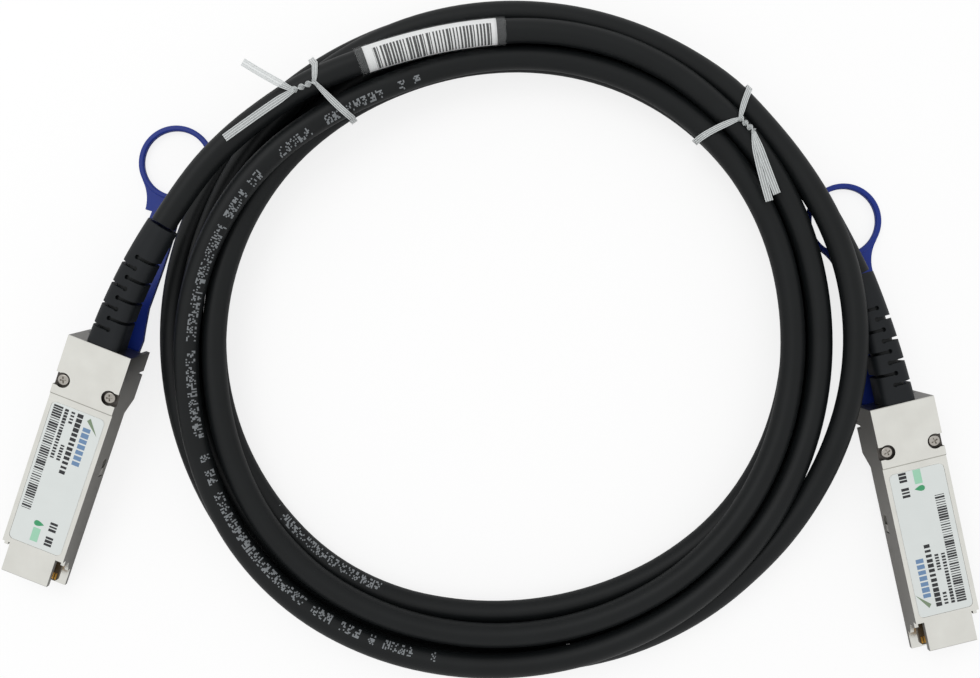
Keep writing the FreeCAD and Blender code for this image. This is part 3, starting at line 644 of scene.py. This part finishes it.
def restedLine(near, points, half):
    # lifts a line of a flat strip where it would cut the turns under its middle or its edges
    rested = []
    for i, point in enumerate(points):
        along = points[min(i + 1, len(points) - 1)] - points[max(i - 1, 0)]
        across = Vector((-along.y, along.x, 0)).normalized() * half
        height = max(topAt(near, point.x + across.x * k, point.y + across.y * k) for k in (-1, 0, 1))
        rested.append(Vector((point.x, point.y, max(point.z, height + tie["gap"]))))
    return rested


def finer(stops):
    # more stops along the straight spans, so that they can bow
    made = [stops[0]]
    for low, high in zip(stops, stops[1:]):
        count = math.ceil(math.dist(low, high) / tie["span"])
        made += [tuple(a + (b - a) * i / count for a, b in zip(low, high)) for i in range(1, count + 1)]
    return made


def joined(pieces, name, *materials):
    # one mesh from pieces that have the same materials
    shape = bmesh.new()
    for piece in pieces:
        shape.from_mesh(piece.data)
    mesh = bpy.data.meshes.new(name)
    shape.to_mesh(mesh)
    shape.free()
    for material in materials:
        mesh.materials.append(material)
    for piece in pieces:
        bpy.data.objects.remove(piece)
    return placed(name, mesh)


def makeTie(name):
    # the loop, the two twisted halves of the knot and the two tails
    look = tiePlaces[name]
    turn = math.radians(look["degrees"])
    out = Vector((math.sin(turn), math.cos(turn), 0))
    onward = Vector((math.cos(turn), -math.sin(turn), 0))
    centre = Vector((*cord["centre"], 0))
    outline = bundleOutline(strandsAt(look["degrees"]), tie["gap"])
    knotAt = look["knotRadius"] * mm
    middle = sum(height for radius, height in outline) / len(outline)
    above = [radius for radius, height in outline if height > middle]
    ends = min(above), max(above)
    k = next(i for i in range(-len(outline) // 2, len(outline) // 2)
             if outline[i][0] <= knotAt < outline[i + 1][0] and outline[i][1] > middle)
    low, high = outline[k], outline[k + 1]
    knotHeight = low[1] + (knotAt - low[0]) / (high[0] - low[0]) * (high[1] - low[1])
    around = [outline[(k + 1 + i) % len(outline)] for i in range(len(outline))]
    loop, widths = [], []
    for radius, height in finer([(knotAt, knotHeight), *around, (knotAt, knotHeight)]):
        outer = int(radius > knotAt)
        off = (radius - knotAt) / (ends[outer] - knotAt)
        share = max(0.0, 1 - off) ** look["bow"][outer] if height > middle else 0.0
        loop.append(centre + out * radius + onward * look["pull"] * mm * share + Vector((0, 0, height)))
        widths.append(1 - (1 - tie["knotShare"]) * max(0.0, 2 * share - 1) ** 2)
    near = [pair for pair in zip(cordPath, cordPath[1:]) if (pair[0] - loop[0]).length < tie["near"]]
    values = {"Film": tie["film"], "Ridge": tie["ridge"], "Clear": tieFilm, "Drawn": tieRidge,
              "Width": tie["width"] * tie["loopShare"], "Across": onward}
    pieces = [runTree(polyCurve("loop", loop, widths), stripFree, values, "loop")]
    along = Vector((*look["knot"], 0)) * mm
    side, count = Vector((-along.y, along.x, 0)).normalized(), tie["knotSteps"]
    spine = [loop[0] + along * (i / count) for i in range(count + 1)]
    spine = restedLine(near, spine, tie["knotRadius"])
    values.update({"Width": tie["width"], "Film": tie["knotFilm"]})
    for half in (0, math.pi):
        points, widths, tilts = [], [], []
        for i, middle in enumerate(spine):
            angle = half + i / count * tie["knotTurns"] * 2 * math.pi
            tight = math.sin(math.pi * i / count)
            ring = (side * math.cos(angle) + Vector((0, 0, math.sin(angle) + 1))) * tie["knotRadius"]
            points.append(middle + ring * (tie["knotLoose"] - tie["knotPull"] * tight))
            widths.append(tie["knotShare"] * (tie["knotEnds"] + tie["knotSwell"] * tight))
            tilts.append(angle)
        pieces.append(runTree(polyCurve("twist", points, widths, tilts), stripLevel, values, "twist"))
    values["Film"] = tie["film"]
    for bend, tip, rise in look["tails"]:
        points, widths, count = [], [], tie["tailSteps"]
        for i in range(count + 1):
            share = i / count
            step = Vector((*bend, 0)) * 2 * share * (1 - share) + Vector((*tip, 0)) * share ** 2
            points.append(spine[-1] + (step + Vector((0, 0, rise * math.sin(math.pi * share)))) * mm)
            widths.append(min(1.0, tie["knotShare"] + tie["tailSpread"] * share))
        points = restedLine(near, points, tie["width"] / 2)
        pieces.append(runTree(polyCurve("tail", points, widths), stripLevel, values, "tail"))
    return joined(pieces, name + "_strip", *pieces[0].data.materials)


for name in tiePlaces:
    strip = makeTie(name)
    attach(strip, "root")
    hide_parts(name)
print("ties made")

# printed fields on the two labels, as plain bars and patches of colour, in mm: u runs from the head
# and v to the left; a row of bars is its first and last u, its v, its height and its count, and the
# widths are shares of one bar's pitch
marks = {
    "lift": 0.015 * mm, "code": (0.6, 32.5, -5.7, 2.75, 44), "codeWidths": (0.2, 0.85), "codeSeed": 3,
    "lineWidths": (0.45, 0.85), "lines": [
        (0.6, 19.2, 0.85, 1.7, 13), (0.7, 4.6, -1.3, 1.1, 4), (10.8, 15.8, -1.3, 1.1, 6),
        (0.7, 15.8, -3.2, 1.1, 17), (33.3, 36.3, 3.4, 2.2, 3), (37.7, 40.8, 3.4, 2.2, 3),
    ],
    "field": (3.7, 15.6, 3.7, 2.2, 7), "fieldWidths": (0.5, 0.85), "fieldSeed": 5,
    "sliver": [(0.9, 3.8), (1.9, 3.0), (5.3, 6.9)],
    "badge": (36.6, 40.7, -0.8, 2.2), "drop": (35.2, -0.7, 1.5), "dropCorners": 24,
    "dropBreadth": 0.75, "dropPoint": 1.3,
    "shift": {"left": (0, 0), "right": (1.4, 0.75)},
}


def barTree():
    # a row of upright bars of uneven width, evenly pitched
    tree, given = newTree("row of bars", {
        "Length": "Float", "Height": "Float", "Count": "Int", "Least": "Float", "Most": "Float",
        "Seed": "Int", "Material": "Material",
    })
    pitch = calc(tree, "DIVIDE", given["Length"], given["Count"])
    step = add(tree, "ShaderNodeCombineXYZ", {"X": pitch})
    start = add(tree, "ShaderNodeCombineXYZ", {"X": calc(tree, "MULTIPLY", pitch, 0.5)})
    row = add(tree, "GeometryNodeMeshLine", {
        "Count": given["Count"], "Start Location": start.outputs[0], "Offset": step.outputs[0],
    }, mode="OFFSET")
    bar = add(tree, "GeometryNodeMeshGrid", {
        "Size X": pitch, "Size Y": given["Height"], "Vertices X": 2, "Vertices Y": 2,
    })
    width = add(tree, "FunctionNodeRandomValue", {
        "Min": given["Least"], "Max": given["Most"], "Seed": given["Seed"],
    }, data_type="FLOAT")
    scale = add(tree, "ShaderNodeCombineXYZ", {"X": width.outputs[1], "Y": 1.0, "Z": 1.0})
    bars = add(tree, "GeometryNodeInstanceOnPoints",
               {"Points": row.outputs[0], "Instance": bar.outputs[0], "Scale": scale.outputs[0]})
    return endTree(tree, bars.outputs[0], given["Material"])


barRow = barTree()


def labelPlace(side):
    # the label's own place: origin in the middle of its top face, X to the nose, Y to the left, Z up
    axis = next(j["axis"] for j in frame["joints"] if j["name"].startswith(side))
    nose = -Vector(axis).normalized()
    left = Vector((0, 0, 1)).cross(nose).normalized()
    turn = Matrix((nose, left, nose.cross(left)))
    local = [turn @ v.co for v in nodes[side + "_label"].data.vertices]
    low = [min(p[i] for p in local) for i in range(3)]
    high = [max(p[i] for p in local) for i in range(3)]
    middle = Vector(((low[0] + high[0]) / 2, (low[1] + high[1]) / 2, high[2]))
    return Matrix.Translation(turn.transposed() @ middle) @ turn.transposed().to_4x4(), high[0] - low[0]


def flatPiece(name, corners):
    mesh = bpy.data.meshes.new(name)
    mesh.from_pydata([(x * mm, y * mm, 0) for x, y in corners], [], [tuple(range(len(corners)))])
    return placed(name, mesh)


def barsPiece(name, bars, widths, seed, material):
    first, last, v, height, count = bars
    piece = runTree(placed("holder", bpy.data.meshes.new("holder")), barRow, {
        "Length": (last - first) * mm, "Height": height * mm, "Count": count,
        "Least": widths[0], "Most": widths[1], "Seed": seed, "Material": material,
    }, name)
    piece.data.transform(Matrix.Translation((first * mm, v * mm, 0)))
    return piece


def leafCorners(u, v, size):
    # a plain pointed drop
    points = []
    for i in range(marks["dropCorners"]):
        angle = 2 * math.pi * i / marks["dropCorners"]
        out = marks["dropBreadth"] * size * math.sin(angle) * math.sin(angle / 2) ** marks["dropPoint"]
        points.append((u + out, v + size * math.cos(angle)))
    return points


def labelPrint(side, upsideDown):
    place, length = labelPlace(side)
    black = [barsPiece("code", marks["code"], marks["codeWidths"], marks["codeSeed"], labelInk)]
    for seed, bars in enumerate(marks["lines"]):
        black.append(barsPiece("line", bars, marks["lineWidths"], seed, labelInk))
    blue = [barsPiece("field", marks["field"], marks["fieldWidths"], marks["fieldSeed"], blueInk)]
    first, last, v, height = marks["badge"]
    low, high = v - height / 2, v + height / 2
    groups = [
        (labelInk, black), (blueInk, blue),
        (greenInk, [flatPiece("drop", leafCorners(*marks["drop"]))]),
        (paleInk, [flatPiece("badge", [(first, low), (last, low), (last, high), (first, high)])]),
        (oliveInk, [flatPiece("sliver", marks["sliver"])]),
    ]
    shift = Vector((*marks["shift"][side], 0)) * mm
    for ink, group in groups:
        whole = joined(group, side + "_" + ink.name, ink)
        whole.data.transform(Matrix.Translation(shift + Vector((-length / 2, 0, marks["lift"]))))
        if upsideDown:
            whole.data.transform(Matrix.Rotation(math.pi, 4, "Z"))
        whole.data.transform(place)
        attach(whole, "root")


# how deep the screw recesses go, and how level a face of the cover has to be to count as a floor there
recessDepth = 0.6 * mm
floorLevel = 0.9


def darkenRecesses(side, depth):
    # the floors of the screw recesses get painted shade and grime; one number on each face of the cover
    turn = labelPlace(side)[0].inverted()
    mesh = nodes[side + "_cover_shell"].data
    sunk = mesh.attributes.new("sunk", "FLOAT", "FACE")
    for face in mesh.polygons:
        upright, height = (turn.to_3x3() @ face.normal).z, (turn @ face.center).z
        sunk.data[face.index].value = float(upright > floorLevel and -2 * depth < height < -depth)


def shortenSprings(side):
    # gives the springs a mesh of their own; their shape is left as it is
    spring = nodes[side + "_return_springs"]
    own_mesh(spring)


for side in ("left", "right"):
    darkenRecesses(side, recessDepth)
    shortenSprings(side)
labelPrint("left", False)
labelPrint("right", True)
print("labels printed")

# floor, light and camera; the focal length is a share of the sensor's width
studio = {
    "floor": 1.6, "white": "#f6f6f6", "glow": 1.06, "glowShare": 0.75, "fill": 0.72,
    "lampPlace": (-0.35, 0.4, 0.75), "lampPower": 1.6, "lampSize": 0.5,
    "cameraHeight": 275.7 * mm, "aimY": 14.1 * mm, "focal": 0.95602,
}


def makeFloor():
    half = studio["floor"] / 2
    mesh = bpy.data.meshes.new("floor")
    corners = [(-half, -half, 0), (half, -half, 0), (half, half, 0), (-half, half, 0)]
    mesh.from_pydata(corners, [], [(0, 1, 2, 3)])
    floor = placed("floor", mesh)
    material, tree, shader = newMaterial(
        "white_paper_sweep", Base_Color=linear(studio["white"]), Roughness=0.9)
    rays = add(tree, "ShaderNodeLightPath")
    seen = calc(tree, "MULTIPLY", rays.outputs["Is Camera Ray"], studio["glowShare"])
    glow = add(tree, "ShaderNodeEmission", {"Color": (1, 1, 1, 1), "Strength": studio["glow"]})
    mix = add(tree, "ShaderNodeMixShader", {0: seen, 1: shader.outputs[0], 2: glow.outputs[0]})
    tree.links.new(mix.outputs[0], tree.nodes["Material Output"].inputs[0])
    mesh.materials.append(material)


def makeWorld():
    # white all round; what lights the object is a little dimmer than what it mirrors
    world = bpy.data.worlds.new("studio")
    bpy.context.scene.world = world
    world.use_nodes = True
    tree = world.node_tree
    back = tree.nodes["Background"]
    rays = add(tree, "ShaderNodeLightPath")
    bright = calc(tree, "MAXIMUM", rays.outputs["Is Camera Ray"], rays.outputs["Is Glossy Ray"])
    bright = calc(tree, "MAXIMUM", bright, rays.outputs["Is Transmission Ray"])
    strength = add(tree, "ShaderNodeMapRange",
                   {"Value": bright, "To Min": studio["fill"], "To Max": 1.0})
    tree.links.new(strength.outputs[0], back.inputs["Strength"])
    back.inputs["Color"].default_value = (1, 1, 1, 1)


def makeLamp():
    data = bpy.data.lights.new("soft_key", "AREA")
    data.energy, data.size = studio["lampPower"], studio["lampSize"]
    lamp = placed("soft_key", data)
    lamp.location = studio["lampPlace"]
    lamp.rotation_euler = (-Vector(studio["lampPlace"])).to_track_quat("-Z", "Y").to_euler()


def makeCamera():
    data = bpy.data.cameras.new("camera")
    data.sensor_fit = "HORIZONTAL"
    data.lens = data.sensor_width * studio["focal"]
    data.clip_start = 0.01
    camera = placed("camera", data)
    camera.location = (0, studio["aimY"], studio["cameraHeight"])
    bpy.context.scene.camera = camera


makeFloor()
makeWorld()
makeLamp()
makeCamera()
bpy.context.scene.view_settings.view_transform = "Standard"
print("studio set")
